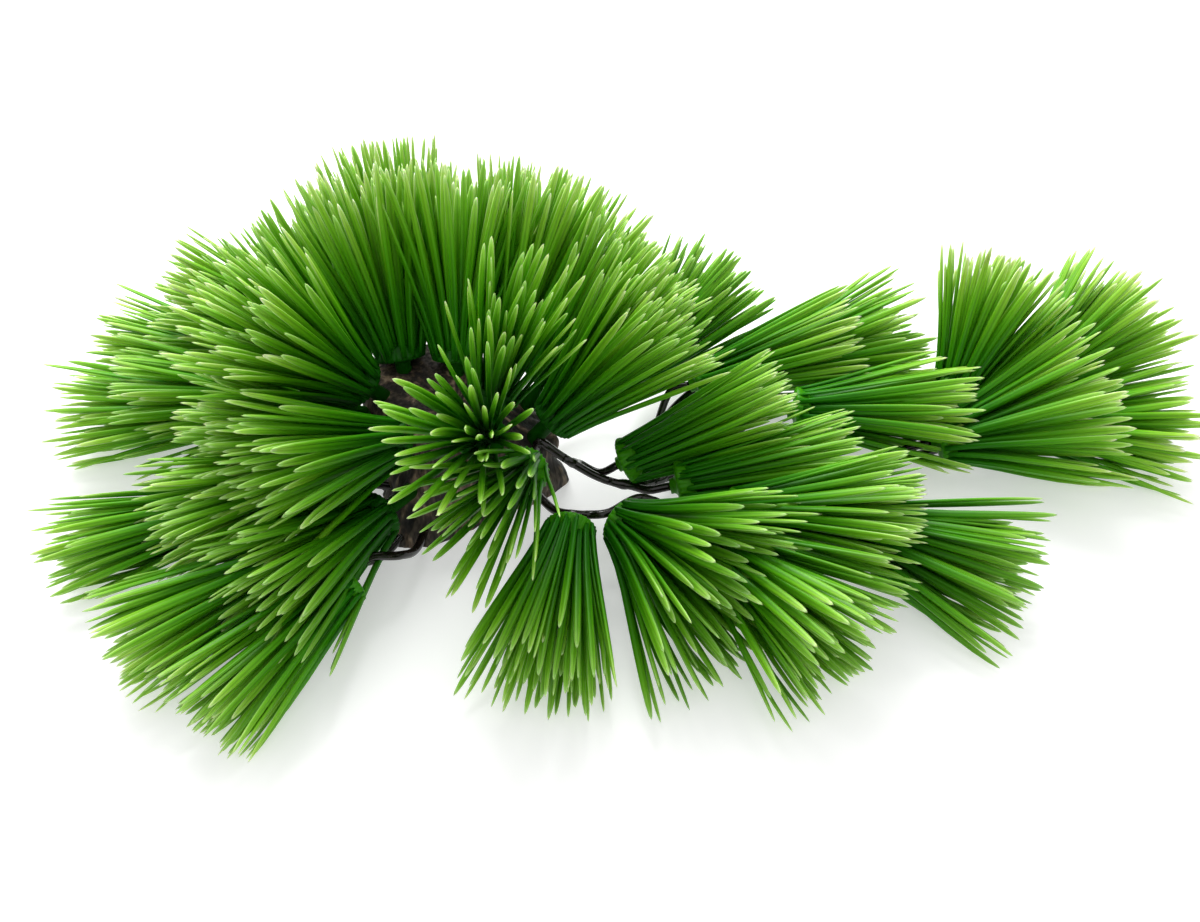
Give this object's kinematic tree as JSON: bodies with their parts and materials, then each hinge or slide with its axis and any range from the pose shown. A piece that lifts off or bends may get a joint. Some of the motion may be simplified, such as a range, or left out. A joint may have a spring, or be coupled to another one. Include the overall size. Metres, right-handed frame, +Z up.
{
  "type": "artificial needle-tuft plant spray",
  "caption": "Lying spray of artificial greenery: brush-like tufts of long green plastic needles on dark coated wires that fork from a low bark-covered stump.",
  "frame": {"origin": "on the stump's flat underside, under the middle of its top", "axes": "+X along the spray towards its long end, +Y away from the side that it is looked at from, +Z up from the surface that it lies on"},
  "size_m": [0.3266, 0.1655, 0.0909],
  "materials": {
    "bark": "rough, ridged bark",
    "coated_wire": "glossy dark-brown coating",
    "needle_green": "semi-gloss, dark at the base and pale at the tips"
  },
  "bodies": {
    "root": {"stump": "bark", "tuft_crown_front_left": "needle_green", "tuft_crown_front": "needle_green", "tuft_crown_top": "needle_green", "tuft_crown_right": "needle_green", "tuft_crown_right_back": "needle_green", "tuft_crown_back": "needle_green", "tuft_crown_back_left": "needle_green", "tuft_crown_far_back": "needle_green", "tuft_crown_left_back": "needle_green", "tuft_crown_back_right": "needle_green", "tuft_left_high": "needle_green", "tuft_left_mid": "needle_green", "tuft_left_low": "needle_green", "tuft_left_lower": "needle_green", "tuft_front_low": "needle_green", "tuft_left_front": "needle_green", "tuft_left_high_outer": "needle_green", "tuft_left_mid_outer": "needle_green", "tuft_left_low_outer": "needle_green", "tuft_left_front_outer": "needle_green", "tuft_far_left_back": "needle_green", "tuft_far_left": "needle_green", "tuft_far_left_front": "needle_green", "tuft_right_brush": "needle_green", "tuft_right_collar": "needle_green", "tuft_right_mid": "needle_green", "tuft_right_front": "needle_green", "tuft_right_front_outer": "needle_green", "tuft_right_low": "needle_green", "tuft_right_back": "needle_green", "tuft_back_high": "needle_green", "tuft_back_high_outer": "needle_green", "tuft_back_dark": "needle_green", "tuft_tip_up": "needle_green", "tuft_tip_side": "needle_green", "tuft_end_up": "needle_green", "tuft_end_side": "needle_green", "wire_crown_front": "coated_wire", "wire_far_left_back": "coated_wire", "wire_left_high_outer": "coated_wire", "wire_left": "coated_wire", "wire_left_low": "coated_wire", "wire_left_front": "coated_wire", "wire_left_front_outer": "coated_wire", "wire_right_brush": "coated_wire", "wire_right_collar": "coated_wire", "wire_right_mid": "coated_wire", "wire_right_front": "coated_wire", "wire_right_low": "coated_wire", "wire_back_dark": "coated_wire", "wire_back_high": "coated_wire", "wire_back_high_outer": "coated_wire", "wire_right_back": "coated_wire", "wire_end": "coated_wire", "wire_tip_up": "coated_wire", "wire_tip_side": "coated_wire", "wire_end_up": "coated_wire"}
  },
  "joints": []
}
